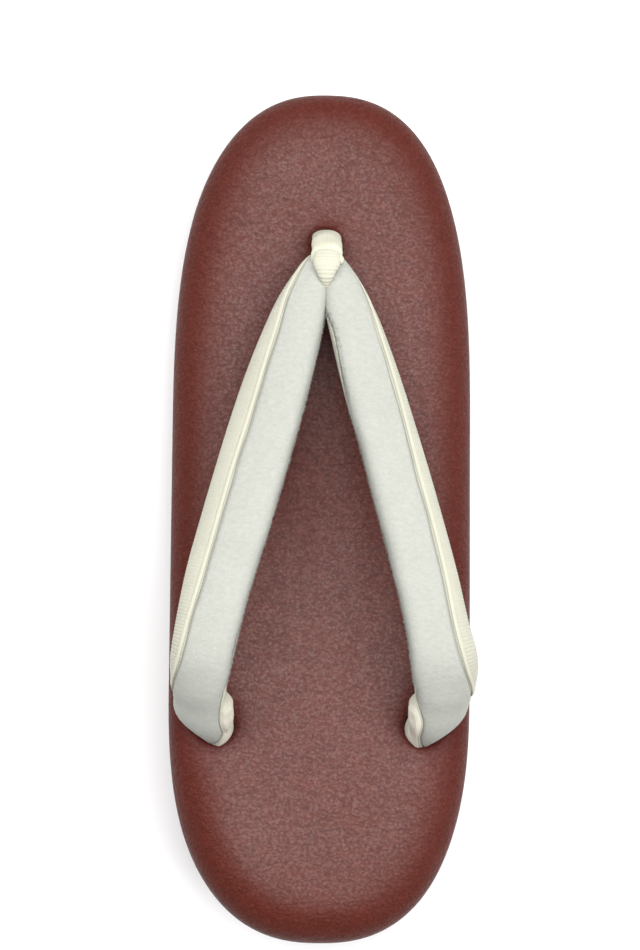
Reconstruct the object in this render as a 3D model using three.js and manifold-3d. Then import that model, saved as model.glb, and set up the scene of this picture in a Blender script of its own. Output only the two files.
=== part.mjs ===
// Zori sandal: rubber outsole, leather-wrapped wedge, padded footbed, V-shaped padded straps and toe thong.
// Millimetres. +Y points to the toe, +X to the wearer's right, +Z up. The origin is on the floor, under the
// middle of the sandal's length and width. The sandal is the same on both sides of the plane X = 0.
import * as THREE from "three";
import Module from "manifold-3d";

const wasm = await Module();
wasm.setup();

// ---------------------------------------------------------------- driving dimensions

const LENGTH = 240;
const WIDTH = 85;
const HALF_LENGTH = LENGTH / 2;
const HALF_WIDTH = WIDTH / 2;
const GAP = 0.3; // clearance kept between neighbouring pieces

// Plan outline: a superellipse round the toe, a straight side, and a superellipse round the heel.
const TOE = { centreY: 21.5, power: 2.63 };
const HEEL = { centreY: -48, power: 2.49 };

// Side view: the standing surface of the footbed, a wedge that lifts a little at the toe.
const HEEL_HEIGHT = 45;
const BALL_HEIGHT = 26.5;
const WEDGE = { startY: -95, endY: 75 };
const TOE_LIFT = { startY: 55, rise: 4 };

// Side view: the underside, flat under heel and ball, hollow under the arch, turned up at both ends.
const ARCH = { startY: -45, endY: 22, rise: 1.6 };
const TOE_SPRING = { startY: 58, rise: 7.5 };
const HEEL_BEVEL = { startY: -106, rise: 1.2 };

// Insets are measured inwards from the plan outline, which is the widest line of the footbed.
const OUTSOLE = { thickness: 3.5, inset: 3.0, edgeInset: 3.2, bevelInset: 4.4, bevelHeight: 1.2 };
const MIDSOLE = { lowInset: 2.8, highInset: 1.3, levels: 4 };
const FOOTBED = { thickness: 12, rollInset: 1.7, tuckInset: 0.5, tuckHeight: 0.75, crown: 0.6 };
const SHOULDER = { width: 12.5, height: 9.5, steps: 7 }; // the footbed's rounded edge
const CROWN_INSETS = [20, 30, 38];

const OUTLINE_STEPS = { toe: 15, side: 9, heel: 13 }; // points along each stretch of half the outline
const STEPS_PER_ROW = 2; // sections swept between two rows of a strap or band table
const ARM_SIDES = 18;
const BAND_SIDES = 14;
const SECTION = { power: 2.4, faceShare: 0.58 }; // superellipse power, and the share of padding on the face

// One arm of the straps, from the apex to the end inside the sole. Each row is a section: its inner and
// outer edge in plan, the height of each edge above the footbed's surface, and the padding's thickness.
const ARM = [
  { inX: -0.9, inY: 72.0, inH: 9.6, outX: 4.4, outY: 72.8, outH: 8.8, thick: 5.6 },
  { inX: -0.9, inY: 67.6, inH: 11.2, outX: 8.0, outY: 69.0, outH: 9.4, thick: 7.2 },
  { inX: -0.6, inY: 59.6, inH: 13.8, outX: 12.8, outY: 62.2, outH: 10.4, thick: 8.4 },
  { inX: 1.5, inY: 50.6, inH: 16.6, outX: 16.2, outY: 54.0, outH: 11.6, thick: 9.2 },
  { inX: 5.0, inY: 36.4, inH: 20.2, outX: 21.0, outY: 41.0, outH: 13.8, thick: 9.6 },
  { inX: 8.8, inY: 22.4, inH: 23.2, outX: 25.5, outY: 27.0, outH: 16.4, thick: 9.6 },
  { inX: 12.7, inY: 8.0, inH: 25.6, outX: 29.6, outY: 12.8, outH: 19.0, thick: 9.6 },
  { inX: 16.4, inY: -6.2, inH: 27.2, outX: 33.5, outY: -1.4, outH: 21.2, thick: 9.6 },
  { inX: 19.9, inY: -19.2, inH: 28.0, outX: 36.9, outY: -14.8, outH: 23.0, thick: 9.6 },
  { inX: 22.9, inY: -31.6, inH: 27.2, outX: 39.8, outY: -27.6, outH: 23.4, thick: 9.6 },
  { inX: 24.8, inY: -41.2, inH: 24.0, outX: 41.4, outY: -37.6, outH: 20.6, thick: 9.6 },
  { inX: 25.9, inY: -48.8, inH: 18.0, outX: 41.8, outY: -44.2, outH: 15.0, thick: 9.6 },
  { inX: 26.5, inY: -55.2, inH: 11.0, outX: 40.6, outY: -48.8, outH: 8.8, thick: 9.8 },
  { inX: 26.6, inY: -60.4, inH: 4.4, outX: 37.6, outY: -51.8, outH: 3.4, thick: 10.2 },
  { inX: 26.6, inY: -63.2, inH: -2.0, outX: 33.8, outY: -53.6, outH: -2.4, thick: 9.8 },
  { inX: 27.2, inY: -63.0, inH: -8.0, outX: 33.0, outY: -54.6, outH: -8.4, thick: 8.6 },
  { inX: 27.8, inY: -62.4, inH: -14.0, outX: 32.4, outY: -55.6, outH: -14.0, thick: 7.6 },
];

// The toe thong's upper band: out of the front hole, up the leg, over the apex and down into the crotch.
const UPPER_BAND = [
  { y: 80.4, h: -15.0, width: 7.0, thick: 3.4 },
  { y: 80.2, h: -7.0, width: 7.2, thick: 3.6 },
  { y: 79.6, h: 0.0, width: 7.8, thick: 4.4 },
  { y: 78.0, h: 5.4, width: 9.0, thick: 4.6 },
  { y: 75.4, h: 10.8, width: 9.2, thick: 4.4 },
  { y: 72.0, h: 14.2, width: 9.0, thick: 4.0 },
  { y: 68.2, h: 15.4, width: 6.8, thick: 4.4 },
  { y: 65.0, h: 13.2, width: 4.0, thick: 4.2 },
  { y: 64.0, h: 8.6, width: 3.0, thick: 3.0 },
];

// Its lower band: from the crotch, forward under the apex, and down into the front hole again.
const LOWER_BAND = [
  { y: 64.0, h: 7.6, width: 3.0, thick: 3.0 },
  { y: 64.8, h: 3.2, width: 5.0, thick: 3.0 },
  { y: 69.2, h: 2.6, width: 7.0, thick: 3.0 },
  { y: 74.2, h: 2.2, width: 7.4, thick: 3.4 },
  { y: 77.2, h: -2.0, width: 7.2, thick: 4.0 },
  { y: 77.8, h: -8.0, width: 7.0, thick: 3.6 },
  { y: 78.0, h: -15.0, width: 7.0, thick: 3.4 },
];

// The stretch of the thong that passes between the two arms.
const CROTCH_POST = [
  { y: 66.6, h: 16.0, width: 3.0, thick: 3.2 },
  { y: 65.0, h: 12.6, width: 3.0, thick: 3.0 },
  { y: 64.0, h: 8.0, width: 3.0, thick: 3.0 },
  { y: 64.6, h: 3.6, width: 3.0, thick: 3.0 },
];

// ---------------------------------------------------------------- side view

const mix = THREE.MathUtils.lerp;
const smooth = THREE.MathUtils.smoothstep;

// How far y lies past `start` on the way to `end`, from 0 to 1.
const share = (y, start, end) => THREE.MathUtils.clamp((y - start) / (end - start), 0, 1);

// Height of the underside at y: a parabola at either end and one full sine wave's hump under the arch.
function groundAt(y) {
  const toe = TOE_SPRING.rise * share(y, TOE_SPRING.startY, HALF_LENGTH) ** 2;
  const heel = HEEL_BEVEL.rise * share(y, HEEL_BEVEL.startY, -HALF_LENGTH) ** 2;
  const arch = ARCH.rise * Math.sin(Math.PI * share(y, ARCH.startY, ARCH.endY)) ** 2;
  return toe + heel + arch;
}

// Height of the footbed's shoulder line at y: a smooth wedge, plus a parabola at the toe.
function surfaceAt(y) {
  const wedge = mix(HEEL_HEIGHT, BALL_HEIGHT, smooth(y, WEDGE.startY, WEDGE.endY));
  return wedge + TOE_LIFT.rise * share(y, TOE_LIFT.startY, HALF_LENGTH) ** 2;
}

const footbedBaseAt = (y) => surfaceAt(y) - FOOTBED.thickness;

// ---------------------------------------------------------------- plan outline

// A point on a quarter of a superellipse, `inset` inside the outline. Angle 0 is at the side of the sandal
// and 90 degrees at its end; direction is 1 for the toe and -1 for the heel.
function endPoint(end, direction, angle, inset) {
  const reach = HALF_LENGTH - direction * end.centreY - inset;
  const x = (HALF_WIDTH - inset) * Math.cos(angle) ** (2 / end.power);
  const y = end.centreY + direction * reach * Math.sin(angle) ** (2 / end.power);
  return new THREE.Vector2(x, y);
}

// Half the outline, from the tip of the toe down the right side to the back of the heel.
function halfOutline(inset) {
  const points = [];
  const quarter = Math.PI / 2;
  for (let i = 0; i < OUTLINE_STEPS.toe; i++) {
    const angle = quarter * (1 - i / OUTLINE_STEPS.toe);
    points.push(endPoint(TOE, 1, angle, inset));
  }
  for (let i = 0; i < OUTLINE_STEPS.side; i++) {
    const y = mix(TOE.centreY, HEEL.centreY, i / OUTLINE_STEPS.side);
    points.push(new THREE.Vector2(HALF_WIDTH - inset, y));
  }
  for (let i = 0; i <= OUTLINE_STEPS.heel; i++) {
    points.push(endPoint(HEEL, -1, (quarter * i) / OUTLINE_STEPS.heel, inset));
  }
  points[0].x = 0;
  points[points.length - 1].x = 0;
  return points;
}

// A full ring `inset` inside the outline, with its height given by a function of y.
function soleRing(inset, heightAt) {
  const right = halfOutline(inset);
  const left = right.slice(1, -1).reverse();
  const plan = [...right, ...left.map((p) => new THREE.Vector2(-p.x, p.y))];
  return plan.map((p) => new THREE.Vector3(p.x, p.y, heightAt(p.y)));
}

// ---------------------------------------------------------------- skins and solids

// A closed solid over a stack of rings with equally many points. Point 0 and the point half way round are
// the tips of each ring, so a ladder of triangles between the two sides closes the first ring and the last.
function solidOver(rings) {
  const count = rings[0].length;
  const triangles = [];
  for (let r = 0; r + 1 < rings.length; r++) {
    for (let i = 0; i < count; i++) {
      const j = (i + 1) % count;
      const [a, b, c, d] = [r * count + i, r * count + j, (r + 1) * count + i, (r + 1) * count + j];
      triangles.push(a, b, d, a, d, c);
    }
  }
  const last = (rings.length - 1) * count;
  for (let i = 0; i < count / 2; i++) {
    const [a, b] = [i, i + 1];
    const [c, d] = [(count - i) % count, count - i - 1];
    if (a !== c) {
      triangles.push(a, c, b, last + a, last + b, last + c);
    }
    if (b !== d) {
      triangles.push(b, c, d, last + b, last + d, last + c);
    }
  }
  const vertProperties = new Float32Array(rings.flat().flatMap((p) => p.toArray()));
  const outward = new wasm.Manifold(
    new wasm.Mesh({ numProp: 3, vertProperties, triVerts: new Uint32Array(triangles) }),
  );
  if (outward.volume() > 0) {
    return outward;
  }
  const turned = new Uint32Array(triangles.reverse());
  return new wasm.Manifold(new wasm.Mesh({ numProp: 3, vertProperties, triVerts: turned }));
}

// A named mesh from a solid, in a flat-shaded material.
function piece(name, solid, look) {
  const mesh = solid.getMesh();
  const geometry = new THREE.BufferGeometry();
  geometry.setAttribute("position", new THREE.BufferAttribute(mesh.vertProperties, 3));
  geometry.setIndex(new THREE.BufferAttribute(mesh.triVerts, 1));
  geometry.computeVertexNormals();
  const made = new THREE.Mesh(geometry, new THREE.MeshStandardMaterial(look));
  made.name = name;
  return made;
}

// ---------------------------------------------------------------- sweeps

// All the columns of a table at place t, counted in rows, on a Catmull-Rom curve through the rows.
function rowAt(rows, t) {
  const k = Math.min(Math.floor(t), rows.length - 2);
  const u = t - k;
  const row = (i) => rows[THREE.MathUtils.clamp(i, 0, rows.length - 1)];
  const [p0, p1, p2, p3] = [row(k - 1), row(k), row(k + 1), row(k + 2)];
  const out = {};
  for (const name of Object.keys(p1)) {
    const pull1 = (p2[name] - p0[name]) / 2;
    const pull2 = (p3[name] - p1[name]) / 2;
    const step = p2[name] - p1[name];
    out[name] = p1[name] + u * (pull1 + u * (3 * step - 2 * pull1 - pull2 + u * (pull1 + pull2 - 2 * step)));
  }
  return out;
}

// A padded section: crowned on its face and flatter underneath, with well rounded edges.
function sectionPoint(angle, section, grow) {
  const rounded = (v) => Math.sign(v) * Math.abs(v) ** (2 / SECTION.power);
  const across = rounded(Math.cos(angle));
  const up = rounded(Math.sin(angle));
  const depth = section.thick * (up > 0 ? SECTION.faceShare : 1 - SECTION.faceShare);
  return section.centre
    .clone()
    .addScaledVector(section.across, across * (section.halfWidth + grow))
    .addScaledVector(section.face, up * (depth + grow));
}

// A solid swept through sections, each turned square to the path and to the line between its own edges.
function sweep(sections, sides, grow) {
  const last = sections.length - 1;
  const rings = sections.map((section, i) => {
    const before = sections[Math.max(i - 1, 0)].centre;
    const after = sections[Math.min(i + 1, last)].centre;
    const path = after.clone().sub(before).normalize();
    const face = section.across.clone().cross(path).normalize();
    const centre = section.centre.clone();
    if (i === 0) {
      centre.addScaledVector(path, -grow);
    }
    if (i === last) {
      centre.addScaledVector(path, grow);
    }
    const placed = { ...section, centre, face };
    const ring = [];
    for (let k = 0; k < sides; k++) {
      ring.push(sectionPoint((2 * Math.PI * k) / sides, placed, grow));
    }
    return ring;
  });
  return solidOver(rings);
}

// Rows of a table, worked out into sections between its first row and its last.
function sectionsOf(rows, toSection) {
  const sections = [];
  for (let i = 0; i <= (rows.length - 1) * STEPS_PER_ROW; i++) {
    sections.push(toSection(rowAt(rows, i / STEPS_PER_ROW)));
  }
  return sections;
}

// A section of an arm from its two edges, on the right (side 1) or on the left (side -1).
function armSection(row, side) {
  const inner = new THREE.Vector3(side * row.inX, row.inY, surfaceAt(row.inY) + row.inH);
  const outer = new THREE.Vector3(side * row.outX, row.outY, surfaceAt(row.outY) + row.outH);
  const span = outer.clone().sub(inner);
  return {
    centre: inner.add(outer).multiplyScalar(0.5),
    across: span.clone().normalize().multiplyScalar(side),
    halfWidth: span.length() / 2,
    thick: row.thick,
  };
}

// A section of a band of the thong, level from left to right.
function bandSection(row) {
  return {
    centre: new THREE.Vector3(0, row.y, surfaceAt(row.y) + row.h),
    across: new THREE.Vector3(1, 0, 0),
    halfWidth: row.width / 2,
    thick: row.thick,
  };
}

const arm = (side, grow) => sweep(sectionsOf(ARM, (row) => armSection(row, side)), ARM_SIDES, grow);
const band = (rows, grow) => sweep(sectionsOf(rows, bandSection), BAND_SIDES, grow);

const bothArms = (grow) => arm(1, grow).add(arm(-1, grow));
const bothBands = (grow) => band(UPPER_BAND, grow).add(band(LOWER_BAND, grow));

// ---------------------------------------------------------------- sub-parts

// Thin rubber sole with a small bevel round its lower edge.
function outsole() {
  return solidOver([
    soleRing(OUTSOLE.bevelInset, groundAt),
    soleRing(OUTSOLE.edgeInset, (y) => groundAt(y) + OUTSOLE.bevelHeight),
    soleRing(OUTSOLE.inset, (y) => groundAt(y) + OUTSOLE.thickness),
  ]);
}

// Wedge between outsole and footbed: its side leans in a little towards the floor.
function midsole() {
  const lower = (y) => groundAt(y) + OUTSOLE.thickness + GAP;
  const upper = (y) => footbedBaseAt(y) - GAP;
  const rings = [];
  for (let i = 0; i < MIDSOLE.levels; i++) {
    const f = i / (MIDSOLE.levels - 1);
    rings.push(soleRing(mix(MIDSOLE.lowInset, MIDSOLE.highInset, f), (y) => mix(lower(y), upper(y), f)));
  }
  return solidOver(rings);
}

// Padded footbed: a small roll under its widest line, a quarter ellipse for its shoulder, and a low crown.
function footbed() {
  const quarter = Math.PI / 2;
  const widestAt = (y) => surfaceAt(y) - SHOULDER.height;
  const rings = [
    soleRing(FOOTBED.rollInset, footbedBaseAt),
    soleRing(FOOTBED.tuckInset, (y) => footbedBaseAt(y) + FOOTBED.tuckHeight),
  ];
  for (let i = 0; i <= SHOULDER.steps; i++) {
    const angle = (quarter * i) / SHOULDER.steps;
    const inset = SHOULDER.width * (1 - Math.cos(angle));
    rings.push(soleRing(inset, (y) => widestAt(y) + SHOULDER.height * Math.sin(angle)));
  }
  for (const inset of CROWN_INSETS) {
    const lift = FOOTBED.crown * Math.sin(quarter * share(inset, SHOULDER.width, HALF_WIDTH));
    rings.push(soleRing(inset, (y) => surfaceAt(y) + lift));
  }
  return solidOver(rings);
}

// The V-shaped upper: both arms, with the slot at the crotch that the thong passes through.
function straps() {
  return bothArms(0).subtract(band(CROTCH_POST, GAP));
}

// The loop round the apex: both bands clear of the arms, closed again by the post between them.
function toeThong() {
  return bothBands(0).subtract(bothArms(GAP)).add(band(CROTCH_POST, 0));
}

const holes = bothArms(GAP).add(bothBands(GAP));

// ---------------------------------------------------------------- assembly

const BROWN_LEATHER = { color: 0x74433c, roughness: 0.55, metalness: 0 };
const GREY_SUEDE = { color: 0xdadbd5, roughness: 0.95, metalness: 0 };
const CREAM_FABRIC = { color: 0xece8da, roughness: 0.9, metalness: 0 };
const DARK_RUBBER = { color: 0x3a2a26, roughness: 0.8, metalness: 0 };

const zori = new THREE.Group();
zori.add(
  piece("outsole", outsole(), DARK_RUBBER),
  piece("midsole", midsole().subtract(holes), BROWN_LEATHER),
  piece("footbed", footbed().subtract(holes), BROWN_LEATHER),
  piece("straps", straps(), GREY_SUEDE),
  piece("toe_thong", toeThong(), CREAM_FABRIC),
);

export default zori;
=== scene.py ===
import math

import bpy
import numpy as np
from mathutils import Matrix, Vector


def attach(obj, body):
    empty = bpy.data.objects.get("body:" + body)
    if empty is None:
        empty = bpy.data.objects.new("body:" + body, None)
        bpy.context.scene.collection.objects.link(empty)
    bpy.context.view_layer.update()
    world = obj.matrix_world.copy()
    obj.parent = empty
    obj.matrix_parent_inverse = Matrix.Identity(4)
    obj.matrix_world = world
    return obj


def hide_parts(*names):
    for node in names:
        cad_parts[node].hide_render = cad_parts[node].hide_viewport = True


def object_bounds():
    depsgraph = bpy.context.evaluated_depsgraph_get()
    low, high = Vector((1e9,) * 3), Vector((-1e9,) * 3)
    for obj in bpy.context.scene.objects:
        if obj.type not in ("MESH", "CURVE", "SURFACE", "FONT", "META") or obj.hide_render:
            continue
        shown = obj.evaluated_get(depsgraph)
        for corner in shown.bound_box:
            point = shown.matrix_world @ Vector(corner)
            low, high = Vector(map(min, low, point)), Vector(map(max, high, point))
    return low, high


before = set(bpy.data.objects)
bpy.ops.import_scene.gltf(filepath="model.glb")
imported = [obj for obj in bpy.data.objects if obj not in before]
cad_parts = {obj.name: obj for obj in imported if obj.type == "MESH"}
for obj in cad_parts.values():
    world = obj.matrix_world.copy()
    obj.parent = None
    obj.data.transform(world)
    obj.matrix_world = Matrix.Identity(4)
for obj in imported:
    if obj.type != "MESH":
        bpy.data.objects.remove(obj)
CAD_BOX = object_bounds()

# A zori sandal. Shapes are worked out in millimetres, in the sandal's own frame: +Y to the toe, +X to the
# wearer's right, +Z up, with the floor at 0. Meshes are put into Blender in metres.
MM = 0.001
HALF_WIDTH = (CAD_BOX[1].x - CAD_BOX[0].x) / 2 / MM
HALF_LENGTH = (CAD_BOX[1].y - CAD_BOX[0].y) / 2 / MM
QUARTER = math.pi / 2

# -------- sizes of the sole

TOE = {"centre_y": 21.5, "across": 2.4, "along": 3.0}
HEEL = {"centre_y": -48, "across": 2.42, "along": 2.6}
HEEL_HEIGHT = 45
BALL_HEIGHT = 26.5
WEDGE = (-95, 75)
TOE_LIFT = {"start": 55, "rise": 4}
ARCH = {"start": -45, "end": 22, "rise": 1.6}
TOE_SPRING = {"start": 58, "rise": 7.5}
HEEL_BEVEL = {"start": -106, "rise": 1.2}
OUTSOLE_THICKNESS = 3.5
SEAM_GAP = 0.3
FOOTBED_THICKNESS = 12
FOOTBED_BASE_INSET = 1.7
SHOULDER = {"width": 12.5, "height": 9.5}
CROWN = 0.6
# The dish inside the rim: its depth, and the shares of the way out from the middle between which it rises.
DISH = {"depth": 0.75, "floor": 0.45, "edge": 0.93}
# The wedge's side: its inset at the floor and under the footbed, the radius of its rounded edges, their share
# of the height, and how far it swells at mid height. Then the seam at the middle of the heel.
SIDE = {"foot_inset": 2.8, "roof_inset": 1.3, "edge": 0.7, "edge_share": 0.03, "swell": 0.25}
HEEL_SEAM = {"depth": 0.35, "half_width": 0.45}

# Holes that the straps and the thong go into: whether there is one on each side, the middle, half sizes,
# turn in degrees, depth, and how far down and out the leather dips round them.
REAR_HOLE = {"pair": True, "x": 30.1, "y": -57.3, "long": 6.9, "short": 5.2, "turn": 45}
TOE_HOLE = {"pair": False, "x": 0.4, "y": 77.8, "long": 3.7, "short": 3.6, "turn": 0}
REAR_HOLE |= {"depth": 9.5, "dip": 1.3, "reach": 9.0}
TOE_HOLE |= {"depth": 9.5, "dip": 0.7, "reach": 5.0}
LIP = 0.6  # how far out, and how far down, the leather rolls over the lip of a hole

# -------- sizes of the straps

# An arm from the apex to its end in the sole: inner edge x, y and height above the footbed, outer edge x, y
# and height, and the thickness of the padding.
ARM = [
    (-0.9, 72.0, 9.6, 4.4, 72.8, 8.8, 5.6),
    (-0.9, 67.6, 11.2, 8.0, 69.0, 9.4, 7.2),
    (-0.6, 59.6, 13.8, 12.8, 62.2, 10.4, 8.4),
    (1.5, 50.6, 16.6, 16.2, 54.0, 11.6, 9.2),
    (5.0, 36.4, 20.2, 21.0, 41.0, 13.8, 9.6),
    (8.8, 22.4, 23.2, 25.5, 27.0, 16.4, 9.6),
    (12.7, 8.0, 25.6, 29.6, 12.8, 19.0, 9.6),
    (16.4, -6.2, 27.2, 33.5, -1.4, 21.2, 9.6),
    (19.9, -19.2, 28.0, 36.9, -14.8, 23.0, 9.6),
    (22.9, -31.6, 27.2, 39.8, -27.6, 23.4, 9.6),
    (24.8, -41.2, 24.0, 41.4, -37.6, 20.6, 9.6),
    (25.9, -48.8, 18.0, 41.8, -44.2, 15.0, 9.6),
    (26.5, -55.2, 11.0, 40.6, -48.8, 8.8, 9.8),
    (26.6, -60.4, 4.4, 37.6, -51.8, 3.4, 10.2),
    (26.6, -63.2, -2.0, 33.8, -53.6, -2.4, 9.8),
    (27.2, -63.0, -8.0, 33.0, -54.6, -8.4, 8.6),
]
SECTION_POWER = 2.4
FACE_SHARE = 0.42  # share of the padding that lies on the face side
# How the seams run along each arm, a row for each row of ARM: the share of the width, from the inner side,
# at which the outer seam lies, the same for the inner seam, and how far out, in millimetres, the outer edge
# and the inner edge are moved. The two arms differ a little.
RIGHT_SEAMS = [
    (1.00, -0.02, 0.0, 0.3), (1.00, -0.02, -0.5, 0.6), (0.97, -0.02, -1.4, 0.6), (0.895, 0.05, -0.9, 0.5),
    (0.87, 0.01, -1.0, 0.4), (0.835, -0.02, -1.1, 0.7), (0.795, -0.03, -1.0, 0.5), (0.79, -0.04, -0.9, 0.6),
    (0.77, -0.04, -0.7, 0.4), (0.745, -0.04, -0.6, 0.1), (0.77, -0.04, 0.7, -0.3), (0.90, -0.02, 0.2, 0.1),
    (1.00, 0.05, 0.2, 0.2), (1.00, 0.02, 2.0, 0.1), (1.00, 0.07, 0.3, 0.0), (1.00, 0.16, 0.0, 0.0),
]
LEFT_SEAMS = [
    (0.97, -0.04, 0.0, 0.3), (0.89, -0.04, -0.2, 0.6), (0.85, -0.04, -0.5, 0.6), (0.785, -0.04, -0.05, 0.2),
    (0.745, -0.04, 0.25, 0.0), (0.725, -0.04, 0.4, -0.1), (0.74, -0.04, 0.5, 0.0), (0.735, -0.04, 0.6, 0.5),
    (0.735, -0.04, 0.8, 0.9), (0.79, -0.04, 0.4, 1.0), (0.845, -0.04, 0.2, 1.1), (0.95, 0.02, -0.5, 1.2),
    (1.00, 0.05, -0.2, 0.4), (1.00, 0.01, 2.2, 0.0), (1.00, 0.14, 0.3, 0.0), (1.00, 0.28, 0.0, 0.0),
]
LINING_THICKNESS = 0.7
RIB_PITCH = 0.9
RIB_HEIGHT = 0.07
# Piping along the outer and the inner seam: its width, its height and its offset towards the outer edge.
PIPING = {"width": 1.1, "height": 0.45, "offset": 0.72}
INNER_PIPING = {"width": 0.7, "height": 0.45, "offset": -0.3}
GROOVE = {"outer": 0.65, "inner": 0.35}  # how deep the suede sinks along each seam
GATHER = {"swell": 1.9, "fold": 0.26}  # how far the lining swells and folds where a rear end is drawn in

# The toe thong's band from the hole over the apex: x, y, height above the footbed, width and thickness.
THONG_BAND = [
    (0.3, 80.3, -9.0, 7.0, 3.4), (0.4, 80.1, -5.0, 7.2, 3.6), (0.5, 79.5, 0.0, 7.8, 4.2),
    (0.5, 78.1, 5.4, 8.3, 4.6), (0.3, 75.8, 10.2, 8.4, 4.6), (0.1, 73.4, 12.4, 8.9, 3.6),
    (-0.2, 71.6, 12.8, 7.8, 3.0), (0.0, 69.4, 13.2, 5.0, 2.8),
]
# The cap laid over its end, narrowing to a point that dips between the arms.
THONG_CAP = [
    (0.3, 73.9, 12.8, 7.4, 3.8), (0.3, 73.1, 13.5, 7.6, 4.0), (0.2, 71.7, 14.4, 7.9, 4.4),
    (0.1, 70.2, 15.1, 7.3, 4.2), (0.0, 68.8, 15.2, 6.0, 4.0), (0.0, 67.4, 15.0, 4.6, 3.8),
    (0.0, 66.0, 14.0, 3.2, 3.6), (0.0, 64.8, 12.4, 2.2, 3.2), (0.0, 64.0, 9.6, 1.8, 3.0),
    (0.0, 64.0, 7.6, 1.8, 3.0),
]
# Its lower band, from the crotch forward under the apex and into the hole again.
THONG_RETURN = [
    (0.0, 64.0, 8.8, 3.0, 3.0), (0.0, 64.0, 5.6, 3.4, 3.0), (0.0, 65.2, 3.2, 5.0, 3.0),
    (0.0, 69.2, 2.6, 7.0, 3.0), (0.0, 74.2, 2.0, 7.0, 3.0), (0.0, 76.6, -2.0, 7.0, 3.2),
    (0.0, 77.0, -9.0, 7.0, 3.0),
]

# -------- small maths


def share(values, start, end):
    """How far values lie past start on the way to end, from 0 to 1."""
    return np.clip((np.asarray(values, float) - start) / (end - start), 0, 1)


def smooth_share(values, start, end):
    """The same share eased at both ends: 3 s squared minus 2 s cubed."""
    s = share(values, start, end)
    return s * s * (3 - 2 * s)


def signed_power(values, power):
    """Each value's size raised to the power, with its sign kept."""
    return np.sign(values) * np.abs(values) ** power


def unit(vectors):
    """Vectors along the last axis, divided by their length."""
    return vectors / np.maximum(np.linalg.norm(vectors, axis=-1, keepdims=True), 1e-9)


def along(rows, t):
    """The columns of a table at places t, counted in rows: a cubic through the rows, whose slope at a row is
    half the step from the row before it to the row after it."""
    rows = np.asarray(rows, float)
    last = len(rows) - 1
    k = np.clip(np.floor(t).astype(int), 0, last - 1)
    u = (t - k)[:, None]
    p0, p1, p2, p3 = (rows[np.clip(k + i, 0, last)] for i in (-1, 0, 1, 2))
    pull1, pull2, step = (p2 - p0) / 2, (p3 - p1) / 2, p2 - p1
    return (p1 + u * (pull1 + u * (3 * step - 2 * pull1 - pull2 + u * (pull1 + pull2 - 2 * step)))).T


def ground_at(y):
    """Height of the underside: a parabola at each end and one hump of a squared sine under the arch."""
    toe = TOE_SPRING["rise"] * share(y, TOE_SPRING["start"], HALF_LENGTH) ** 2
    heel = HEEL_BEVEL["rise"] * share(y, HEEL_BEVEL["start"], -HALF_LENGTH) ** 2
    arch = ARCH["rise"] * np.sin(math.pi * share(y, ARCH["start"], ARCH["end"])) ** 2
    return toe + heel + arch


def surface_at(y):
    """Height of the footbed's shoulder line: an eased wedge from heel to ball, plus a parabola at the toe."""
    wedge = HEEL_HEIGHT + (BALL_HEIGHT - HEEL_HEIGHT) * smooth_share(y, *WEDGE)
    return wedge + TOE_LIFT["rise"] * share(y, TOE_LIFT["start"], HALF_LENGTH) ** 2


# -------- meshes


def ring_faces(rings, around):
    """Quads between neighbouring rings of a stack, where each ring closes on itself."""
    index = np.arange(rings * around).reshape(rings, around)
    ahead = np.roll(index, -1, axis=1)
    return np.stack([index[:-1], ahead[:-1], ahead[1:], index[1:]], axis=-1).reshape(-1, 4)


def fan_faces(ring, tip, reverse):
    """Triangles from each edge of a ring to one tip, turned the other way for the far end of a stack."""
    ahead = np.roll(ring, -1)
    pair = (ahead, ring) if reverse else (ring, ahead)
    return np.stack([*pair, np.full(len(ring), tip)], axis=-1)


def closed_skin(rings, uv=None):
    """A closed surface over a stack of rings[ring, around, xyz], as (points, quads, triangles, uv). A fan
    round the middle of the first and last ring shuts each end. uv holds a pair of numbers for each point."""
    count, around = rings.shape[:2]
    points = np.concatenate([rings.reshape(-1, 3), rings[[0, -1]].mean(1)])
    tip = count * around
    first, last = np.arange(around), np.arange(tip - around, tip)
    fans = np.concatenate([fan_faces(first, tip, True), fan_faces(last, tip + 1, False)])
    if uv is not None:
        uv = np.concatenate([uv.reshape(-1, 2), uv[[0, -1]].mean(1)])
    return points, ring_faces(count, around), fans, uv


def with_tips(grid, first=0, last=0):
    """One number a point for a closed skin: a grid's own, then those of the points that shut its ends."""
    return np.concatenate([grid.ravel(), [first, last]])


def faced_outwards(points, quads, fans, uv):
    """A closed skin, with its faces turned round if they point inwards, which is so where the sum of
    a . (b x c) over its triangles is below 0."""
    triangles = np.concatenate([quads[:, [0, 1, 2]], quads[:, [0, 2, 3]], fans])
    a, b, c = (points[triangles[:, i]] for i in range(3))
    step = -1 if np.sum(a * np.cross(b, c)) < 0 else 1
    return points, quads[:, ::step], fans[:, ::step], uv


def joined(skins):
    """Several closed skins as one. Either all of them have uv, or none has."""
    points, quads, fans, uv = zip(*[faced_outwards(*skin) for skin in skins])
    starts = np.cumsum([0] + [len(p) for p in points[:-1]])
    all_quads = np.concatenate([q + start for q, start in zip(quads, starts)])
    all_fans = np.concatenate([f + start for f, start in zip(fans, starts)])
    return np.concatenate(points), all_quads, all_fans, None if uv[0] is None else np.concatenate(uv)


def placed(name, data):
    """An object that shows the data, put into the scene."""
    made = bpy.data.objects.new(name, data)
    bpy.context.scene.collection.objects.link(made)
    return made


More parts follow.
